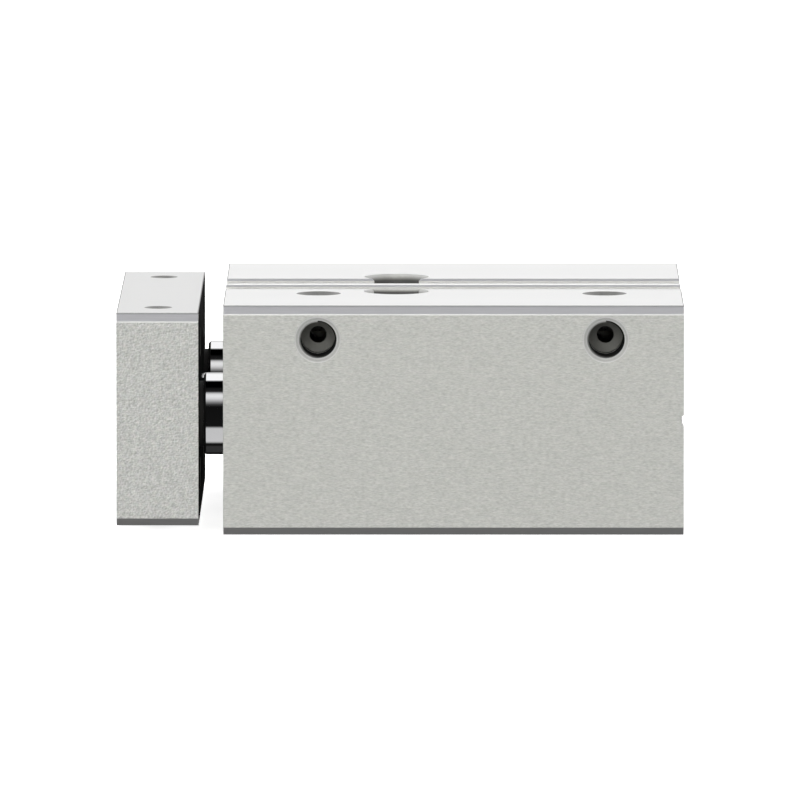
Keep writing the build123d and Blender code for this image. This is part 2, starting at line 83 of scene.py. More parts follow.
# How deep the outer finish reaches into the rims of holes
HOUSING_SKIN = 0.55 * MM
YOKE_SKIN = 0.4 * MM
EDGE_HOLE_Y = 20 * MM
EDGE_HOLE_RIM = 1.8 * MM

CREASE = math.radians(30)
BLOTCH_SHARE = 0.6
WEAR_SCALE = 900.0
# Painted highlight: a light tone on the upper side edges of the bars and round both edges of the supply
# ports' countersinks
PAINTED_HIGHLIGHT = (0.85, 0.85, 0.87)
# Painted shade: dark lines where the bevels meet the top and base, and where the top and base meet the
# ends
PAINTED_EDGE_SHADE = (0.13, 0.13, 0.135)
PAINTED_BEVEL_EDGE_SHADE = (0.2, 0.2, 0.205)
# Painted shade: the cut threads inside the holes are darker than the alloy
THREAD_PAINTED_SHADE = (0.30, 0.30, 0.29)
TURNED_ALLOY = (0.62, 0.62, 0.63)
WHITE = (1.0, 1.0, 1.0)
KEY_TONE = (1.0, 1.0, 0.935)

# What is mirrored at each angle in degrees: 0 is the front, 90 above, 180 behind and -90 below
BANDS = (
    (-180, 0.01), (-138, 0.01), (-132, 0.035), (-102, 0.035), (-97, 0.008), (-89, 0.008),
    (-80, 0.62), (-38, 0.60), (-31, 0.008), (25, 0.006), (31, 0.05), (37, 0.22), (43, 0.52),
    (49, 0.76), (56, 0.88), (62, 0.75), (70, 0.015), (81, 0.008), (86, 0.0), (109, 0.0),
    (115, 1.08), (150, 1.06), (162, 0.72), (180, 0.72),
)


def length(name, description, default):
    """A property for a length in metres."""
    return FloatProperty(
        name=name, description=description, default=default, min=0.0, unit="LENGTH", precision=5
    )


def share(name, description, default):
    """A property for a value between 0 and 1."""
    return FloatProperty(
        name=name, description=description, default=default, min=0.0, max=1.0, subtype="FACTOR"
    )


def colour(name, description, default):
    """A property for a linear colour."""
    return FloatVectorProperty(
        name=name, description=description, default=default, min=0.0, max=1.0, subtype="COLOR"
    )


class HousingFinish(PropertyGroup):
    """Finish of the housing."""

    edge_radius: length("Edge radius", "Rounding of the outer edges", 0.07 * MM)
    alloy: colour("Alloy", "Ground and anodised sides", (0.600, 0.605, 0.600))
    flat: colour("Flat", "Smooth top and base", (0.67, 0.67, 0.67))
    # The bevels are lit and shaded copies of one finish: the upper tone is painted light, the lower
    # tone painted shade
    bevel: colour("Bevel", "Smooth long bevels", (0.84, 0.84, 0.89))
    # White, lighter than the alloy: painted light on the walls of the slots' and ports' mouths, where
    # the painted shade of the recesses starts
    lip: colour("Lip", "Walls of the slots' mouths", (1.0, 1.0, 1.0))
    # Painted shade: the insides of bores and the deep ends of the recesses are darker than the alloy
    bore_painted_shade: colour("Bored", "Inside of bores", (0.16, 0.16, 0.155))
    lower_bevel_painted_shade: colour("Lower bevel", "Smooth bevels along the base", (0.44, 0.44, 0.45))
    # Painted shade in the supply ports: the floor darker than the alloy and the walls near black
    floor: colour("Port floor", "Drilled floor of the supply ports", (0.31, 0.31, 0.305))
    deep: colour("Deep", "Walls of the supply ports", (0.015, 0.015, 0.015))
    # Painted shade: the countersinks of the plugged top ports are darker than the alloy
    countersink: colour("Countersink", "Rims of the plugged top ports", (0.30, 0.30, 0.295))
    grain: length("Grain", "Size of the ground grain across its run", 0.14 * MM)
    grain_contrast: share("Grain contrast", "How much the grain varies", 0.48)


class YokeFinish(PropertyGroup):
    """Finish of the yoke plate."""

    edge_radius: length("Edge radius", "Rounding of the outer edges", 0.07 * MM)
    alloy: colour("Alloy", "Blasted and anodised sides", (0.605, 0.61, 0.612))
    flat: colour("Flat", "Smooth top and base", (0.57, 0.57, 0.57))
    # Painted shade: the side towards the housing is near black, for the shade in the gap between yoke
    # and housing
    rear: colour("Rear", "Dull side towards the housing", (0.035, 0.035, 0.035))
    # Painted shade: the countersinks of the edge threads are darker than the alloy
    countersink: colour("Countersink", "Rims of the edge threads", (0.36, 0.36, 0.355))
    grain: length("Grain", "Size of the blasted grain", 0.21 * MM)
    grain_contrast: share("Grain contrast", "How much the grain varies", 0.74)


class ThreadSizes(PropertyGroup):
    """Sizes of the cut threads."""

    m5_pitch: length("M5 pitch", "Rise of an M5 thread in one turn", 0.8 * MM)
    m4_pitch: length("M4 pitch", "Rise of an M4 thread in one turn", 0.7 * MM)
    m3_pitch: length("M3 pitch", "Rise of an M3 thread in one turn", 0.5 * MM)
    ridge: share("Ridge", "Height of a ridge as a share of the pitch", 0.27)


class SmallPartFinish(PropertyGroup):
    """Finishes of the rods, bearings, seals and screws."""

    chrome: colour("Chrome", "Hard chromed rods", (0.86, 0.86, 0.87))
    # Painted shade: the neck is near black, for the shade in the gap by the yoke
    neck: colour("Neck", "Unground neck of a guide rod", (0.02, 0.02, 0.02))
    bronze: colour("Bronze", "Sintered bushes", (0.47, 0.33, 0.17))
    rubber: colour("Rubber", "Seals and wipers", (0.02, 0.02, 0.022))
    buffer: colour("Buffer", "Elastic end stops", (0.05, 0.09, 0.14))
    zinc: colour("Zinc", "Plated screws", (0.48, 0.48, 0.49))
    plug: colour("Plug", "Port plugs", (0.13, 0.13, 0.135))
    phosphate: colour("Phosphate", "Retaining rings", (0.07, 0.07, 0.075))
    magnet: colour("Magnet", "Pressed magnet ring", (0.06, 0.06, 0.062))


class Studio(PropertyGroup):
    """Camera and lights."""

    camera_place: FloatVectorProperty(
        name="Camera place",
        description="Where the camera stands",
        default=(-2.380 * MM, -1873.973 * MM, 203.876 * MM),
        subtype="TRANSLATION",
        unit="LENGTH",
    )
    camera_turn: FloatVectorProperty(
        name="Camera turn",
        description="How the camera is turned",
        default=(math.radians(90 - 5.7971), 0.0, math.radians(0.1280)),
        subtype="EULER",
    )
    lens: FloatProperty(
        name="Lens", description="Focal length in mm", default=687.1, min=1.0, unit="CAMERA"
    )
    key: FloatProperty(name="Key", description="Front light", default=21.0, unit="POWER")
    top: FloatProperty(name="Top", description="Overhead light", default=10.0, unit="POWER")
    fill: FloatProperty(name="Fill", description="Lights behind", default=8.0, unit="POWER")


# Node trees


def feed(tree, socket, value):
    """Links an output to a socket, or sets the socket's own value."""
    if isinstance(value, bpy.types.NodeSocket):
        tree.links.new(value, socket)
    elif hasattr(value, "__len__") and len(value) == 3 and socket.type == "RGBA":
        socket.default_value = (*value, 1.0)
    else:
        socket.default_value = value


def maths(tree, operation, *values, clamp=False):
    """The output of a Math node."""
    node = tree.nodes.new("ShaderNodeMath")
    node.operation = operation
    node.use_clamp = clamp
    for socket, value in zip(node.inputs, values):
        feed(tree, socket, value)
    return node.outputs[0]


def smooth_step(tree, value, start, end):
    """0 before start, 1 after end, smooth between."""
    node = tree.nodes.new("ShaderNodeMapRange")
    node.interpolation_type = "SMOOTHSTEP"
    for name, given in (("Value", value), ("From Min", start), ("From Max", end)):
        feed(tree, node.inputs[name], given)
    return node.outputs["Result"]


def mixed(tree, factor, first, second, blend="MIX"):
    """The output of a colour mix."""
    node = tree.nodes.new("ShaderNodeMix")
    node.data_type = "RGBA"
    node.blend_type = blend
    feed(tree, node.inputs[0], factor)
    feed(tree, node.inputs[6], first)
    feed(tree, node.inputs[7], second)
    return node.outputs[2]


def parts_of(tree, vector):
    """The x, y and z outputs of a vector."""
    node = tree.nodes.new("ShaderNodeSeparateXYZ")
    feed(tree, node.inputs[0], vector)
    return node.outputs[0], node.outputs[1], node.outputs[2]


def noise(tree, vector, scale, detail, roughness):
    """Value and colour outputs of a noise."""
    node = tree.nodes.new("ShaderNodeTexNoise")
    feed(tree, node.inputs["Vector"], vector)
    feed(tree, node.inputs["Scale"], scale)
    node.inputs["Detail"].default_value = detail
    node.inputs["Roughness"].default_value = roughness
    return node.outputs[0], node.outputs[1]


def vector_maths(tree, operation, first, second):
    """The output of a Vector Math node, part by part."""
    node = tree.nodes.new("ShaderNodeVectorMath")
    node.operation = operation
    feed(tree, node.inputs[0], first)
    feed(tree, node.inputs[1], second)
    return node.outputs[0]


def hypotenuse(tree, first, second):
    """The square root of the sum of two squares."""
    squares = [maths(tree, "MULTIPLY", value, value) for value in (first, second)]
    return maths(tree, "SQRT", maths(tree, "ADD", *squares))


def new_group(name, inputs, outputs):
    """An empty shader node group with its sockets, and its input and output nodes."""
    group = bpy.data.node_groups.new(name, "ShaderNodeTree")
    for label, kind, default in inputs:
        socket = group.interface.new_socket(name=label, in_out="INPUT", socket_type=kind)
        if default is not None:
            socket.default_value = default
    for label, kind in outputs:
        group.interface.new_socket(name=label, in_out="OUTPUT", socket_type=kind)
    entry = group.nodes.new("NodeGroupInput")
    leave = group.nodes.new("NodeGroupOutput")
    return group, entry.outputs, leave.inputs


def grain_group():
    """Blasted or ground metal: blotches, fine grit with a painted shade of its slopes as if lit from
    one side, and a slight tint.
    """
    inputs = [
        ("Vector", "NodeSocketVector", None),
        ("Colour", "NodeSocketColor", (0.5, 0.5, 0.5, 1.0)),
        ("Size", "NodeSocketFloat", 0.4 * MM),
        ("Stretch", "NodeSocketVector", (1.0, 1.0, 1.0)),
        ("Contrast", "NodeSocketFloat", 0.2),
        ("Tint", "NodeSocketFloat", 0.02),
        ("Relief", "NodeSocketFloat", 0.0),
    ]
    outputs = [
        ("Colour", "NodeSocketColor"),
        ("Grit", "NodeSocketFloat"),
        ("Height", "NodeSocketFloat"),
    ]
    group, given, result = new_group("alloy grain", inputs, outputs)
    place = vector_maths(group, "MULTIPLY", given["Vector"], given["Stretch"])
    scale = maths(group, "DIVIDE", 1.0, given["Size"])
    blotch, tones = noise(group, place, maths(group, "MULTIPLY", scale, 0.45), 2.0, 0.55)
    grit, _ = noise(group, place, scale, 2.0, 0.6)
    # Relief paints the grit lighter on one side of each bump and darker on the other: painted light and
    # shade
    step = vector_maths(group, "MULTIPLY", (0.5, 0.3, -0.5), given["Size"])
    shaded, _ = noise(group, vector_maths(group, "ADD", place, step), scale, 2.0, 0.6)
    painted_relief_shade = maths(group, "MULTIPLY_ADD", maths(group, "SUBTRACT", 0.5, shaded), given["Relief"], grit)
    fine = maths(group, "MULTIPLY", painted_relief_shade, 2.0 - BLOTCH_SHARE)
    both = maths(group, "MULTIPLY_ADD", blotch, BLOTCH_SHARE, fine)
    swing = maths(group, "MULTIPLY", maths(group, "SUBTRACT", both, 1.0), given["Contrast"])
    shade = maths(group, "ADD", swing, 1.0)
    toned = mixed(group, given["Tint"], given["Colour"], tones, "OVERLAY")
    feed(group, result["Colour"], vector_maths(group, "MULTIPLY", toned, shade))
    feed(group, result["Grit"], grit)
    feed(group, result["Height"], both)
    return group


def rim_group():
    """Masks for the edges of a bevelled bar along X, from how near a point lies to each edge, used for
    painted highlights and painted shade.

    Side edge is where a side meets its upper bevel, Top edge where a bevel meets the top or base,
    and End top edge where the top or base meets an end.
    """
    inputs = [
        ("Vector", "NodeSocketVector", None),
        ("Middle", "NodeSocketVector", (0.0, 0.0, AXIS_Z)),
        ("Half", "NodeSocketVector", (28 * MM, 29 * MM, AXIS_Z)),
        ("Width", "NodeSocketFloat", 0.1 * MM),
    ]
    outputs = [
        ("Side edge", "NodeSocketFloat"),
        ("Top edge", "NodeSocketFloat"),
        ("End top edge", "NodeSocketFloat"),
    ]
    group, given, result = new_group("bar rims", inputs, outputs)
    place = parts_of(group, vector_maths(group, "SUBTRACT", given["Vector"], given["Middle"]))
    along, across, up = [maths(group, "ABSOLUTE", part) for part in place]
    half_x, half_y, half_z = parts_of(group, given["Half"])
    cut_y = maths(group, "SUBTRACT", half_y, BAR_CHAMFER)
    cut_z = maths(group, "SUBTRACT", half_z, BAR_CHAMFER)
    half_width = maths(group, "MULTIPLY", given["Width"], 0.5)
    edges = {
        "Side edge": ((across, half_y), (up, cut_z)),
        "Top edge": ((across, cut_y), (up, half_z)),
        "End top edge": ((along, half_x), (up, half_z)),
    }
    for name, pairs in edges.items():
        gaps = [maths(group, "SUBTRACT", value, corner) for value, corner in pairs]
        mask = smooth_step(group, hypotenuse(group, *gaps), given["Width"], half_width)
        # Only above the middle: the painted highlight lies on the upper side edges alone
        if name == "Side edge":
            mask = maths(group, "MULTIPLY", mask, maths(group, "GREATER_THAN", place[2], 0.0))
        feed(group, result[name], mask)
    return group


def lathe_group():
    """Fine rings about an axis along X, as turning and grinding leave them."""
    inputs = [
        ("Vector", "NodeSocketVector", None),
        ("Colour", "NodeSocketColor", (0.5, 0.5, 0.5, 1.0)),
        ("Centre y", "NodeSocketFloat", 0.0),
        ("Centre z", "NodeSocketFloat", AXIS_Z),
        ("Pitch", "NodeSocketFloat", 0.1 * MM),
        ("Contrast", "NodeSocketFloat", 0.1),
    ]
    outputs = [
        ("Colour", "NodeSocketColor"),
        ("Lines", "NodeSocketFloat"),
        ("Height", "NodeSocketFloat"),
    ]
    group, given, result = new_group("turned rings", inputs, outputs)
    x, y, z = parts_of(group, given["Vector"])
    across = maths(group, "SUBTRACT", y, given["Centre y"])
    up = maths(group, "SUBTRACT", z, given["Centre z"])
    joined = group.nodes.new("ShaderNodeCombineXYZ")
    feed(group, joined.inputs[0], x)
    feed(group, joined.inputs[1], hypotenuse(group, across, up))
    scale = maths(group, "DIVIDE", 1.0, given["Pitch"])
    lines, _ = noise(group, joined.outputs[0], scale, 3.0, 0.7)
    wear, _ = noise(group, given["Vector"], WEAR_SCALE, 2.0, 0.5)
    swings = [maths(group, "SUBTRACT", value, 0.5) for value in (lines, wear)]
    shade = maths(group, "MULTIPLY_ADD", maths(group, "ADD", *swings), given["Contrast"], 1.0)
    feed(group, result["Colour"], vector_maths(group, "MULTIPLY", given["Colour"], shade))
    feed(group, result["Lines"], lines)
    feed(group, result["Height"], lines)
    return group


def group_named(name):
    """A shader node group, built when it is first asked for."""
    makers = {"alloy grain": grain_group, "bar rims": rim_group, "turned rings": lathe_group}
    return bpy.data.node_groups.get(name) or makers[name]()


class Finish:
    """A material with a Principled shader, its object coordinates and its groups."""

    def __init__(self, name, metallic=0.0, **sockets):
        self.material = bpy.data.materials.new(name)
        self.material.use_nodes = True
        self.tree = self.material.node_tree
        self.tree.nodes.clear()
        output = self.tree.nodes.new("ShaderNodeOutputMaterial")
        self.shader = self.tree.nodes.new("ShaderNodeBsdfPrincipled")
        self.tree.links.new(self.shader.outputs[0], output.inputs["Surface"])
        self.place = self.tree.nodes.new("ShaderNodeTexCoord").outputs["Object"]
        self.shader.inputs["Metallic"].default_value = metallic
        for socket, value in sockets.items():
            self.shader.inputs[socket.replace("_", " ")].default_value = value

    def rims(self, bar, width):
        """The edge masks of a bar, given by its low and high corners."""
        low, high = bar
        return self.group("bar rims", Middle=(low + high) / 2, Half=(high - low) / 2, Width=width)

    def group(self, name, **values):
        """Places a group on the object coordinates and returns its outputs."""
        node = self.tree.nodes.new("ShaderNodeGroup")
        node.node_tree = group_named(name)
        feed(self.tree, node.inputs["Vector"], self.place)
        for socket, value in values.items():
            feed(self.tree, node.inputs[socket.replace("_", " ")], value)
        return node.outputs

    def base(self, value):
        """Feeds the base colour."""
        feed(self.tree, self.shader.inputs["Base Color"], value)

    def rough(self, mask, low, high):
        """Feeds the roughness, from low where the mask is 0 to high where it is 1."""
        value = maths(self.tree, "MULTIPLY_ADD", mask, high - low, low, clamp=True)
        feed(self.tree, self.shader.inputs["Roughness"], value)

    def bump(self, height, depth, strength=1.0):
        """Feeds the normal through a bump of that depth in metres."""
        node = self.tree.nodes.new("ShaderNodeBump")
        node.inputs["Strength"].default_value = strength
        node.inputs["Distance"].default_value = depth
        feed(self.tree, node.inputs["Height"], height)
        feed(self.tree, self.shader.inputs["Normal"], node.outputs[0])


# Materials


def bar_finish(name, bar, metallic, depth, **grain_values):
    """Anodised alloy of a bevelled bar, with a painted highlight at the upper side edges and painted
    shade at the top edges.
    """
    finish = Finish(name, metallic=metallic)
    grain = finish.group("alloy grain", **grain_values)
    rims = finish.rims(bar, 0.15 * MM)
    # Painted highlight along the upper side edges
    with_highlight = mixed(finish.tree, rims["Side edge"], grain["Colour"], PAINTED_HIGHLIGHT)
    # Painted shade along the top edges at half strength, and along the ends' top edges
    along = maths(finish.tree, "MULTIPLY", rims["Top edge"], 0.5)
    edge_shade = maths(finish.tree, "MAXIMUM", along, rims["End top edge"])
    finish.base(mixed(finish.tree, edge_shade, with_highlight, PAINTED_EDGE_SHADE))
    finish.rough(grain["Grit"], 0.30, 0.46)
    finish.bump(grain["Height"], depth, 0.5)
    return finish.material


def smooth_finish(name, tone, metallic, rough, bar=None, **sockets):
    """Cut or extruded face with faint lines along X, with painted shade along the upper edge of a given
    bar.
    """
    finish = Finish(name, metallic=metallic, **sockets)
    grain = finish.group(
        "alloy grain", Colour=tone, Size=0.2 * MM, Stretch=(0.05, 1.0, 1.0), Contrast=0.12, Tint=0.02
    )
    base = grain["Colour"]
    if bar:
        # Painted shade along the upper edge
        edge_shade = maths(finish.tree, "MULTIPLY", finish.rims(bar, 0.32 * MM)["Top edge"], 0.4)
        base = mixed(finish.tree, edge_shade, base, PAINTED_BEVEL_EDGE_SHADE)
    finish.base(base)
    finish.rough(grain["Grit"], *rough)
    finish.bump(grain["Height"], 0.004 * MM, 0.4)
    return finish.material


def flat_finish(name, bar, tone):
    """Smooth anodised top and base of a bar."""
    return bar_finish(
        name,
        bar,
        metallic=0.3,
        depth=0.004 * MM,
        Colour=tone,
        Size=0.3 * MM,
        Stretch=(0.2, 1.0, 1.0),
        Contrast=0.06,
        Tint=0.01,
    )


def bevel_finishes(name, bar, look):
    """Upper and lower long bevels of a bar, one finish in two tones: lighter above as painted light,
    darker below as painted shade.
    """
    gloss = {"metallic": 0.72, "rough": (0.28, 0.36)}
    return (
        smooth_finish(f"{name} bevel", look.bevel, bar=bar, **gloss),
        smooth_finish(f"{name} lower bevel painted shade", look.lower_bevel_painted_shade, **gloss),
    )


def bored_finish(name, tone):
    """Dull inside of a bore or thread, in the tone it is given; the dark tones given to it are painted
    shade.
    """
    finish = Finish(name, metallic=0.6)
    rings = finish.group("turned rings", Colour=tone, Pitch=0.12 * MM, Contrast=0.35)
    finish.base(rings["Colour"])
    finish.rough(rings["Lines"], 0.38, 0.6)
    finish.bump(rings["Height"], 0.01 * MM, 0.5)
    return finish.material


def recess_finish(name, light, dark, start, end, axis=2):
    """Machined recess with painted shade: it darkens from start to end along an axis (1 for y, 2 for
    z).
    """
    finish = Finish(name, metallic=0.5)
    rings = finish.group("turned rings", Colour=light, Pitch=0.15 * MM, Contrast=0.25)
    sunk = smooth_step(finish.tree, parts_of(finish.tree, finish.place)[axis], start, end)
    finish.base(mixed(finish.tree, sunk, rings["Colour"], dark))
    finish.rough(rings["Lines"], 0.3, 0.5)
    finish.bump(rings["Height"], 0.008 * MM, 0.5)
    return finish.material


def port_rim_finish(name, look):
    """Countersink of a supply port, with a painted highlight all the way round at both of its edges."""
    finish = Finish(name, metallic=0.45)
    grain = finish.group("alloy grain", Colour=look.alloy, Size=0.2 * MM, Contrast=0.2)
    x, _, z = parts_of(finish.tree, finish.place)
    half_pitch = (PORT_X[1] - PORT_X[0]) / 2
    from_first = maths(finish.tree, "SUBTRACT", x, PORT_X[0])
    across = maths(finish.tree, "WRAP", from_first, half_pitch, -half_pitch)
    radius = hypotenuse(finish.tree, across, maths(finish.tree, "SUBTRACT", z, PORT_Z))
    inner = smooth_step(finish.tree, radius, 2.50 * MM, 2.38 * MM)
    outer = smooth_step(finish.tree, radius, 2.62 * MM, 2.74 * MM)
    # Painted highlight at the inner and outer edges of the countersink
    painted_rims = maths(finish.tree, "MULTIPLY", maths(finish.tree, "MAXIMUM", inner, outer), 0.6)
    finish.base(mixed(finish.tree, painted_rims, grain["Colour"], PAINTED_HIGHLIGHT))
    finish.rough(grain["Grit"], 0.30, 0.46)
    finish.bump(grain["Height"], 0.004 * MM, 0.4)
    return finish.material


def port_wall_finish(name, look):
    """Wall and thread of a supply port, with painted light only where it meets the countersink and
    painted shade deeper in.
    """
    return recess_finish(name, look.lip, look.deep, *PORT_FADE, axis=1)


def turned_finish(name, tone, metallic, rough, pitch, contrast):
    """Turned or ground metal with fine rings about the middle axis."""
    finish = Finish(name, metallic=metallic)
    rings = finish.group("turned rings", Colour=tone, Pitch=pitch, Contrast=contrast)
    finish.base(rings["Colour"])
    finish.rough(rings["Lines"], *rough)
    finish.bump(rings["Height"], 0.004 * MM, 0.4)
    return finish.material


def speckled_finish(name, tone, metallic, rough, size, contrast, depth=0.01 * MM):
    """Sintered, moulded, pressed or plated surface with an even speckle."""
    finish = Finish(name, metallic=metallic)
    grain = finish.group("alloy grain", Colour=tone, Size=size, Contrast=contrast)
    finish.base(grain["Colour"])
    finish.rough(grain["Grit"], *rough)
    finish.bump(grain["Height"], depth, 0.5)
    return finish.material


def guide_rod_finish(look, side, centre_y):
    """Ground and chromed guide rod with an unground neck, rough, not metallic and dark with painted
    shade.
    """
    finish = Finish(f"guide rod chrome {side}", Specular_IOR_Level=0.1)
    rings = finish.group(
        "turned rings", Colour=look.chrome, Centre_y=centre_y, Pitch=0.05 * MM, Contrast=0.04
    )
    x, _, _ = parts_of(finish.tree, finish.place)
    neck_end = YOKE_HIGH.x + 0.56 * MM
    ground = smooth_step(finish.tree, x, neck_end - 0.02 * MM, neck_end)
    # Painted shade: the neck takes the near-black tone
    finish.base(mixed(finish.tree, ground, look.neck, rings["Colour"]))
    finish.rough(ground, 0.55, 0.05)
    feed(finish.tree, finish.shader.inputs["Metallic"], ground)
    finish.bump(rings["Height"], 0.0006 * MM, 0.3)
    return finish.material


# Modelling


def activate(piece):
    """Selects one object alone and makes it active."""
    bpy.ops.object.select_all(action="DESELECT")
    piece.select_set(True)
    bpy.context.view_layer.objects.active = piece


def edit():
    """Enters edit mode with faces selectable."""
    bpy.ops.object.mode_set(mode="EDIT")
    bpy.ops.mesh.select_mode(type="FACE")


def leave_edit():
    """Returns to object mode."""
    bpy.ops.object.mode_set(mode="OBJECT")


def merged_copy(node, name):
    """A copy of a CAD node's mesh, its loose triangles joined into whole faces."""
    piece = bpy.data.objects.new(name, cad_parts[node].data.copy())
    bpy.context.scene.collection.objects.link(piece)
    activate(piece)
    bpy.ops.mesh.customdata_custom_splitnormals_clear()
    edit()
    bpy.ops.mesh.select_all(action="SELECT")
    bpy.ops.mesh.remove_doubles(threshold=0.001 * MM)
    bpy.ops.mesh.dissolve_limited(angle_limit=math.radians(0.5))
    leave_edit()
    return piece


def on_outline(face, low, high):
    """True if a face lies on the outline of a bevelled bar with these corners."""
    centre = (low + high) / 2
    half = (high - low) / 2
    point = face.verts[0].co - centre
    gaps = [abs(abs(point[i]) - half[i]) for i in range(3)]
    normal = [abs(part) for part in face.normal]
    for axis in range(3):
        if normal[axis] > 0.99:
            return gaps[axis] < NEAR or in_vent(face)
    return on_bevel(face.verts[0].co, face.normal, low, high)


def in_vent(face):
    """True for the floor and the two walls of the vent groove in the housing's rear face."""
    point = face.verts[0].co
    sunk = HOUSING_HIGH.x - point.x
    beside = abs(abs(point.z - AXIS_Z) - VENT_WIDTH / 2)
    flat = abs(face.normal.x) > 0.99 or abs(face.normal.z) > 0.99
    return flat and sunk < VENT_DEPTH + NEAR and beside < NEAR


def on_bevel(point, normal, low, high):
    """True for a face in the plane of one of a bar's four long bevels."""
    centre = (low + high) / 2
    half = (high - low) / 2
    reach = abs(point.y - centre.y) + abs(point.z - centre.z)
    gap = abs(reach - (half.y + half.z - BAR_CHAMFER))
    return abs(normal.x) < 0.01 and abs(abs(normal.y) - abs(normal.z)) < 0.05 and gap < NEAR


def on_circle(edge, centre, radius):
    """True if both ends of an edge are that far from a point."""
    return all(abs((vertex.co - centre).length - radius) < NEAR / 2 for vertex in edge.verts)


def round_outline(piece, low, high, radius, rims=()):
    """Rounds the edges where the outer faces of a bar meet, and the given rims of holes."""
    activate(piece)
    edit()
    bpy.ops.mesh.select_mode(type="EDGE")
    bpy.ops.mesh.select_all(action="DESELECT")
    mesh = bmesh.from_edit_mesh(piece.data)
    outline = {face: on_outline(face, low, high) for face in mesh.faces}
    for edge in mesh.edges:
        faces = edge.link_faces
        if len(faces) == 2 and all(outline[face] for face in faces):
            edge.select = faces[0].normal.angle(faces[1].normal) > math.radians(20)
        if any(on_circle(edge, *rim) for rim in rims):
            edge.select = True
    mesh.select_flush(True)
    bmesh.update_edit_mesh(piece.data)
    bpy.ops.mesh.bevel(offset=radius, segments=2, affect="EDGES", clamp_overlap=False)
    leave_edit()
    smooth(piece)


def smooth(piece):
    """Smooth shading with crisp edges and flat flats."""
    activate(piece)
    bpy.ops.object.shade_smooth_by_angle(angle=CREASE)
    weighted = piece.modifiers.new("flats", "WEIGHTED_NORMAL")
    weighted.keep_sharp = True
    bpy.ops.object.modifier_apply(modifier=weighted.name)


def paint(piece, materials, choose):
    """Gives each face the material whose number choose returns for its centre and normal."""
    piece.data.materials.clear()
    for material in materials:
        piece.data.materials.append(material)
    for polygon in piece.data.polygons:
        polygon.material_index = choose(polygon.center, polygon.normal)


def thread_ridge(name, radius, pitch, ridge, depth, steps):
    """A helical ridge that stands inwards from a hole's wall, down -Z from the hole's mouth."""
    bpy.ops.object.select_all(action="DESELECT")
    bpy.ops.mesh.primitive_circle_add(vertices=3, radius=1.0, fill_type="NOTHING")
    piece = bpy.context.object
    piece.name = name
    activate(piece)
    edit()
    mesh = bmesh.from_edit_mesh(piece.data)
    root = radius + 0.04 * MM
    crest = radius - ridge * pitch
    corners = [(crest, 0.0), (root, -0.40 * pitch), (root, 0.40 * pitch)]
    for vertex, (across, up) in zip(mesh.verts, corners):
        vertex.co = (across, 0.0, up)
    bmesh.update_edit_mesh(piece.data)
    leave_edit()
    turns = max(1, math.floor(depth / pitch))
    screw = piece.modifiers.new("ridge", "SCREW")
    screw.axis = "Z"
    screw.steps = screw.render_steps = steps
    screw.iterations = turns
    screw.screw_offset = -pitch
    screw.use_normal_calculate = True
    bpy.ops.object.modifier_apply(modifier=screw.name)
    edit()
    bpy.ops.mesh.select_all(action="SELECT")
    bpy.ops.mesh.fill_holes(sides=3)
    bpy.ops.mesh.select_all(action="SELECT")
    bpy.ops.mesh.normals_make_consistent(inside=False)
    leave_edit()
    return piece


def set_in_holes(ridge, places, outward):
    """Copies of a ridge, one in each hole whose mouth is given, each starting at the hole's top."""
    quarter = Quaternion((0, 0, 1), math.pi / 2)
    turn = Vector((0, 0, 1)).rotation_difference(Vector(outward)) @ quarter
    copies = []
    for place in places:
        copy = ridge.copy()
        copy.data = ridge.data.copy()
        bpy.context.scene.collection.objects.link(copy)
        copy.rotation_mode = "QUATERNION"
        copy.rotation_quaternion = turn
        copy.location = Vector(place) * MM
        copies.append(copy)
    return copies


def join_as(name, copies):
    """Joins objects into one, whose mesh holds where they stand."""
    bpy.ops.object.select_all(action="DESELECT")
    for copy in copies:
        copy.select_set(True)
    bpy.context.view_layer.objects.active = copies[0]
    bpy.ops.object.transform_apply(location=True, rotation=True, scale=True)
    if len(copies) > 1:
        bpy.ops.object.join()
    piece = bpy.context.object
    piece.name = name
    bpy.ops.object.shade_smooth_by_angle(angle=CREASE)
    return piece


# Operators


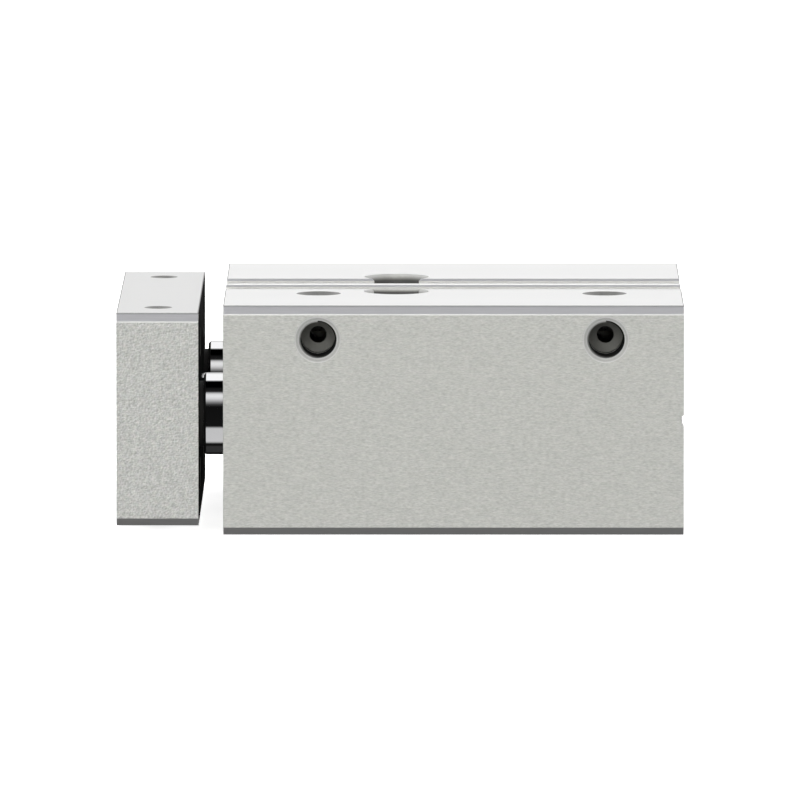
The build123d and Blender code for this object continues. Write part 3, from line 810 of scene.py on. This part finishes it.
class CYLINDER_OT_housing(Operator):
    """Dress the housing: rounded edges, ground grain outside, painted shade in the bores inside"""

    bl_idname = "cylinder.housing"
    bl_label = "Housing"

    def execute(self, context):
        look = context.scene.housing_finish
        piece = merged_copy("housing", "housing_shell")
        rims = [(Vector((x, HOUSING_LOW.y, PORT_Z)), PORT_RIM_RADIUS) for x in PORT_X]
        round_outline(piece, HOUSING_LOW, HOUSING_HIGH, look.edge_radius, rims)
        bar = (HOUSING_LOW, HOUSING_HIGH)
        top = HOUSING_HIGH.z
        materials = [
            bar_finish(
                "housing ground anodised",
                bar,
                metallic=0.45,
                depth=0.012 * MM,
                Colour=look.alloy,
                Size=look.grain,
                Stretch=(0.3, 1.0, 1.0),
                Contrast=look.grain_contrast,
                Tint=0.03,
            ),
            flat_finish("housing smooth anodised", bar, look.flat),
            *bevel_finishes("housing", bar, look),
            recess_finish("slot lip", look.lip, look.bore_painted_shade, top - 0.5 * MM, top - 1.0 * MM),
            recess_finish("housing recess", look.lip, look.bore_painted_shade, top - 0.1 * MM, top - 0.9 * MM),
            bored_finish("top countersink", look.countersink),
            port_rim_finish("port rim", look),
            bored_finish("housing bored", look.bore_painted_shade),
            bored_finish("port floor", look.floor),
            port_wall_finish("port wall", look),
        ]
        numbers = range(len(materials))
        ground, flat, bevel, lower_bevel_painted_shade, lip, recess, countersink, rim, bore_painted_shade, floor, deep = numbers

        def choose(centre, normal):
            below_top = top - centre.z
            beside = HOUSING_HIGH.y - abs(centre.y)
            from_port = min(abs(centre.x - x) for x in PORT_X)
            from_end = HOUSING_HIGH.x - abs(centre.x)
            depth = min(from_end, beside, centre.z - HOUSING_LOW.z, below_top)
            if on_bevel(centre, normal, *bar):
                return bevel if normal.z > 0 else lower_bevel_painted_shade
            if abs(normal.z) > 0.99 and depth < NEAR:
                return flat
            from_top_port = math.hypot(from_port, centre.y - TOP_PORT_Y)
            if from_top_port < TOP_RIM_RADIUS and below_top < TOP_RIM_DEPTH:
                return countersink
            if below_top < SLOT_DEPTH and abs(centre.y) < COUNTERBORE_REACH_Y:
                if abs(centre.y) < SLOT_REACH_Y and abs(normal.x) < 0.01:
                    if abs(abs(normal.y) - normal.z) < 0.05:
                        return bevel
                    if abs(normal.y) > 0.99 and below_top < LIP_DEPTH:
                        return lip
                return recess
            from_axis = math.hypot(from_port, centre.z - PORT_Z)
            if HOUSING_SKIN < beside < PORT_DEPTH and from_axis < PORT_WALL_RADIUS:
                # Painted shade: darker floor and near-black walls in the supply ports
                return floor if normal.y < -0.8 else deep
            if centre.y < 0 and NEAR < beside < HOUSING_SKIN and from_axis < PORT_RIM_REACH:
                return rim
            return ground if depth < HOUSING_SKIN else bore_painted_shade

        paint(piece, materials, choose)
        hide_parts("housing")
        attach(piece, "housing_body")
        return {"FINISHED"}


class CYLINDER_OT_yoke(Operator):
    """Dress the yoke plate: rounded edges, blasted grain outside, painted shade in the holes inside"""

    bl_idname = "cylinder.yoke"
    bl_label = "Yoke plate"

    def execute(self, context):
        look = context.scene.yoke_finish
        piece = merged_copy("yoke_plate", "yoke_shell")
        round_outline(piece, YOKE_LOW, YOKE_HIGH, look.edge_radius)
        shared = context.scene.housing_finish
        bar = (YOKE_LOW, YOKE_HIGH)
        materials = [
            bar_finish(
                "yoke blasted anodised",
                bar,
                metallic=0.45,
                depth=0.02 * MM,
                Colour=look.alloy,
                Size=look.grain,
                Stretch=(0.8, 1.0, 1.0),
                Contrast=look.grain_contrast,
                Tint=0.07,
                Relief=0.8,
            ),
            flat_finish("yoke smooth anodised", bar, look.flat),
            *bevel_finishes("yoke", bar, shared),
            # Painted shade: near black and without gloss on the side facing the housing
            smooth_finish("yoke milled face", look.rear, 0.0, (0.6, 0.8), Specular_IOR_Level=0.0),
            bored_finish("yoke bored", shared.bore_painted_shade),
            bored_finish("yoke countersink", look.countersink),
        ]
        blasted, flat, bevel, lower_bevel_painted_shade, painted_shade, bore_painted_shade, countersink = range(len(materials))
        middle = (YOKE_LOW + YOKE_HIGH) / 2
        half = (YOKE_HIGH - YOKE_LOW) / 2

        def choose(centre, normal):
            gaps = [half[i] - abs(centre[i] - middle[i]) for i in range(3)]
            if on_bevel(centre, normal, *bar):
                return bevel if normal.z > 0 else lower_bevel_painted_shade
            if normal.x > 0.99 and gaps[0] < NEAR:
                return painted_shade
            if gaps[2] < NEAR and abs(normal.z) > 0.99:
                return flat
            if min(gaps) < YOKE_SKIN:
                from_hole = math.hypot(centre.x - middle.x, abs(centre.y) - EDGE_HOLE_Y)
                return countersink if from_hole < EDGE_HOLE_RIM else blasted
            return bore_painted_shade

        paint(piece, materials, choose)
        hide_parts("yoke_plate")
        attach(piece, "yoke_body")
        return {"FINISHED"}


class CYLINDER_OT_threads(Operator):
    """Cut the threads: a helical ridge in each threaded hole of the housing and the yoke"""

    bl_idname = "cylinder.threads"
    bl_label = "Threads"

    def execute(self, context):
        sizes = context.scene.thread_sizes
        cut = bored_finish("cut thread", THREAD_PAINTED_SHADE)
        dark = port_wall_finish("port thread", context.scene.housing_finish)
        # Radius of the hole, pitch, depth and steps in a turn of each thread
        threads = {
            "m5": (2.3 * MM, sizes.m5_pitch, 4.4 * MM, 40),
            "m5_long": (2.3 * MM, sizes.m5_pitch, 5.4 * MM, 40),
            "m4": (1.8 * MM, sizes.m4_pitch, 4.3 * MM, 32),
            "m4_long": (1.8 * MM, sizes.m4_pitch, 9.4 * MM, 32),
            "m3": (1.375 * MM, sizes.m3_pitch, 5.4 * MM, 28),
        }
        ridges = {
            name: thread_ridge(f"{name}_ridge", radius, pitch, sizes.ridge, depth, steps)
            for name, (radius, pitch, depth, steps) in threads.items()
        }
        # Thread, mouths of the holes in mm and the way they face, for each piece
        ports = [(-16.5, -28.3, 23.9), (18.5, -28.3, 23.9)]
        base = [(x, y, 0.6) for x in (-7.0, 13.0) for y in (-9.5, 9.5)]
        rear = [(27.4, y, z) for y in (-13.0, 13.0) for z in (6.0, 22.0)]
        housing_holes = {
            "supply_port_threads": ("m5", ports, (0, -1, 0)),
            "base_threads": ("m5_long", base, (0, 0, -1)),
            "rear_face_threads": ("m4", rear, (1, 0, 0)),
        }
        face = [(-40.4, y, z) for y in (-12.0, 12.0) for z in (6.0, 22.0)]
        upper, lower = [[(-36.0, y, z) for y in (-20.0, 20.0)] for z in (26.5, 1.5)]
        yoke_holes = {
            "yoke_face_threads": ("m4_long", face, (-1, 0, 0)),
            "yoke_top_threads": ("m3", upper, (0, 0, 1)),
            "yoke_bottom_threads": ("m3", lower, (0, 0, -1)),
        }
        for body, slot, holes in (
            ("housing_body", "housing_alloy", housing_holes),
            ("yoke_body", "yoke_alloy", yoke_holes),
        ):
            for name, (ridge, places, outward) in holes.items():
                piece = join_as(name, set_in_holes(ridges[ridge], places, outward))
                piece.data.materials.clear()
                piece.data.materials.append(dark if name == "supply_port_threads" else cut)
                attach(piece, body)
        for ridge in ridges.values():
            bpy.data.objects.remove(ridge)
        return {"FINISHED"}


class CYLINDER_OT_small_parts(Operator):
    """Finish the rods, caps, bushes, seals, rings, plugs and screws that the CAD model gives"""

    bl_idname = "cylinder.small_parts"
    bl_label = "Small parts"

    def execute(self, context):
        look = context.scene.small_part_finish
        # Name, tone, metallic, roughness from and to, pitch of the rings and contrast
        alloy = turned_finish("turned cap alloy", TURNED_ALLOY, 0.9, (0.22, 0.42), 0.08 * MM, 0.12)
        chrome = turned_finish("piston rod chrome", look.chrome, 1.0, (0.04, 0.08), 0.05 * MM, 0.04)
        # The same with the size of the speckle in place of the pitch, and its depth
        bronze = speckled_finish("sintered bronze", look.bronze, 0.9, (0.3, 0.5), 0.12 * MM, 0.5)
        rubber = speckled_finish("seal rubber", look.rubber, 0.0, (0.42, 0.62), 0.2 * MM, 0.3)
        buffer = speckled_finish("buffer elastomer", look.buffer, 0.0, (0.4, 0.6), 0.2 * MM, 0.2)
        phosphate = speckled_finish("phosphated steel", look.phosphate, 0.7, (0.4, 0.6), 0.15 * MM, 0.6)
        plating = (0.25 * MM, 0.25, 0.008 * MM)
        zinc = speckled_finish("zinc plated steel", look.zinc, 0.9, (0.25, 0.45), *plating)
        plug = speckled_finish("plug steel", look.plug, 0.9, (0.2, 0.4), *plating)
        magnet = speckled_finish("pressed magnet", look.magnet, 0.5, (0.45, 0.65), 0.1 * MM, 0.6)
        finishes = {
            alloy: ("front_cap", "rear_cap", "piston_front_disc", "piston_rear_disc"),
            chrome: ("piston_rod",),
            bronze: (
                "front_cap_bush",
                "guide_bush_front_left",
                "guide_bush_front_right",
                "guide_bush_rear_left",
                "guide_bush_rear_right",
            ),
            rubber: (
                "front_cap_seal",
                "front_cap_oring",
                "rear_cap_oring",
                "guide_wiper_left",
                "guide_wiper_right",
                "piston_seal_front",
                "piston_seal_rear",
            ),
            buffer: ("front_buffer", "rear_buffer"),
            phosphate: ("front_retaining_ring", "rear_retaining_ring"),
            plug: ("front_port_plug", "rear_port_plug"),
            zinc: ("guide_rod_screws", "piston_rod_screw", "piston_nut"),
            magnet: ("magnet_ring",),
        }
        for side in ("left", "right"):
            low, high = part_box(f"guide_rod_{side}")
            finishes[guide_rod_finish(look, side, (low.y + high.y) / 2)] = (f"guide_rod_{side}",)
        for material, nodes in finishes.items():
            for node in nodes:
                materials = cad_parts[node].data.materials
                materials.clear()
                materials.append(material)
        return {"FINISHED"}


class CYLINDER_OT_studio(Operator):
    """Set up the studio: pale floor, soft lights, reflections and the camera"""

    bl_idname = "cylinder.studio"
    bl_label = "Studio"

    def execute(self, context):
        studio = context.scene.studio
        context.scene.view_settings.view_transform = "Standard"
        self.floor()
        self.surroundings(context.scene)
        target = Vector((-6 * MM, 0.0, AXIS_Z))
        lights = [
            ("key light", (-0.1, -1.45, 0.30), 0.9, studio.key, KEY_TONE),
            ("top light", (0.0, 0.0, 1.3), 1.0, studio.top, WHITE),
            ("left fill", (-1.2, 0.3, 0.5), 0.8, studio.fill, WHITE),
            ("right fill", (1.2, 0.3, 0.5), 0.8, studio.fill, WHITE),
            ("back fill", (0.1, 1.3, 0.6), 0.8, studio.fill, WHITE),
            ("low fill", (0.0, 0.9, -1.1), 0.8, studio.fill, WHITE),
        ]
        for name, place, size, power, tone in lights:
            self.light(name, Vector(place), target, size, power, tone)
        data = bpy.data.cameras.new("camera")
        data.lens = studio.lens
        data.clip_start = 0.01
        data.clip_end = 20.0
        camera = bpy.data.objects.new("camera", data)
        camera.location = studio.camera_place
        camera.rotation_euler = studio.camera_turn
        context.scene.collection.objects.link(camera)
        context.scene.camera = camera
        return {"FINISHED"}

    def floor(self):
        """A wide pale floor that nothing mirrors and that is clear from below."""
        bpy.ops.object.select_all(action="DESELECT")
        bpy.ops.mesh.primitive_circle_add(vertices=64, radius=8.0, fill_type="NGON")
        floor = bpy.context.object
        floor.name = "floor"
        finish = Finish("pale floor", metallic=0.0, Roughness=0.9)
        finish.shader.inputs["Base Color"].default_value = (0.8, 0.8, 0.8, 1.0)
        finish.shader.inputs["Emission Color"].default_value = (*WHITE, 1.0)
        finish.shader.inputs["Emission Strength"].default_value = 0.8
        tree = finish.tree
        clear = tree.nodes.new("ShaderNodeBsdfTransparent")
        facing = tree.nodes.new("ShaderNodeNewGeometry").outputs["Backfacing"]
        mix = tree.nodes.new("ShaderNodeMixShader")
        tree.links.new(facing, mix.inputs[0])
        tree.links.new(finish.shader.outputs[0], mix.inputs[1])
        tree.links.new(clear.outputs[0], mix.inputs[2])
        output = next(node for node in tree.nodes if node.type == "OUTPUT_MATERIAL")
        tree.links.new(mix.outputs[0], output.inputs["Surface"])
        floor.data.materials.append(finish.material)
        floor.visible_glossy = False
        floor.visible_diffuse = False
        floor.visible_shadow = False

    def surroundings(self, scene):
        """What the metal mirrors: bands of light and dark around X, and grey at both ends of X."""
        world = bpy.data.worlds.new("studio")
        scene.world = world
        world.use_nodes = True
        tree = world.node_tree
        tree.nodes.clear()
        direction = tree.nodes.new("ShaderNodeTexCoord").outputs["Generated"]
        x, y, z = parts_of(tree, direction)
        angle = maths(tree, "ARCTAN2", z, maths(tree, "MULTIPLY", y, -1.0))
        turn = maths(tree, "MULTIPLY_ADD", angle, 1.0 / (2.0 * math.pi), 0.5)
        ramp = tree.nodes.new("ShaderNodeValToRGB")
        elements = ramp.color_ramp.elements
        elements.remove(elements[1])
        for number, (degrees, level) in enumerate(BANDS):
            position = (degrees + 180) / 360
            element = elements.new(position) if number else elements[0]
            element.position = position
            element.color = (level, level, level, 1.0)
        feed(tree, ramp.inputs[0], turn)
        side = smooth_step(tree, maths(tree, "ABSOLUTE", x), 0.75, 0.97)
        mirrored = mixed(tree, side, ramp.outputs[0], (0.45, 0.45, 0.45))
        seen = tree.nodes.new("ShaderNodeLightPath").outputs["Is Camera Ray"]
        background = tree.nodes.new("ShaderNodeBackground")
        feed(tree, background.inputs["Color"], mixed(tree, seen, mirrored, WHITE))
        output = tree.nodes.new("ShaderNodeOutputWorld")
        tree.links.new(background.outputs[0], output.inputs["Surface"])

    def light(self, name, place, target, size, power, tone):
        """A soft square light that metal doesn't mirror."""
        data = bpy.data.lights.new(name, "AREA")
        data.shape = "SQUARE"
        data.size = size
        data.energy = power
        data.color = tone
        lamp = bpy.data.objects.new(name, data)
        lamp.location = place
        lamp.rotation_mode = "QUATERNION"
        lamp.rotation_quaternion = (target - place).to_track_quat("-Z", "Y")
        lamp.visible_glossy = False
        bpy.context.scene.collection.objects.link(lamp)


class CYLINDER_PT_panel(Panel):
    """The operators in the sidebar, in the order they run."""

    bl_idname = "CYLINDER_PT_panel"
    bl_label = "Guided cylinder"
    bl_space_type = "VIEW_3D"
    bl_region_type = "UI"
    bl_category = "Cylinder"

    def draw(self, context):
        """Lists a button for each operator."""
        for operator in OPERATORS:
            self.layout.operator(operator.bl_idname)


PROPERTIES = {
    "housing_finish": HousingFinish,
    "yoke_finish": YokeFinish,
    "thread_sizes": ThreadSizes,
    "small_part_finish": SmallPartFinish,
    "studio": Studio,
}
OPERATORS = (
    CYLINDER_OT_housing,
    CYLINDER_OT_yoke,
    CYLINDER_OT_threads,
    CYLINDER_OT_small_parts,
    CYLINDER_OT_studio,
)


def register():
    """Registers the classes and puts the properties on the scene."""
    for kind in (*PROPERTIES.values(), *OPERATORS, CYLINDER_PT_panel):
        bpy.utils.register_class(kind)
    for name, kind in PROPERTIES.items():
        setattr(bpy.types.Scene, name, PointerProperty(type=kind))


def unregister():
    """Takes back what register did."""
    for name in PROPERTIES:
        delattr(bpy.types.Scene, name)
    for kind in (CYLINDER_PT_panel, *OPERATORS, *PROPERTIES.values()):
        bpy.utils.unregister_class(kind)


def main():
    """Runs the operators in order."""
    register()
    bpy.ops.cylinder.housing()
    bpy.ops.cylinder.yoke()
    bpy.ops.cylinder.threads()
    bpy.ops.cylinder.small_parts()
    bpy.ops.cylinder.studio()


if __name__ == "__main__":
    main()
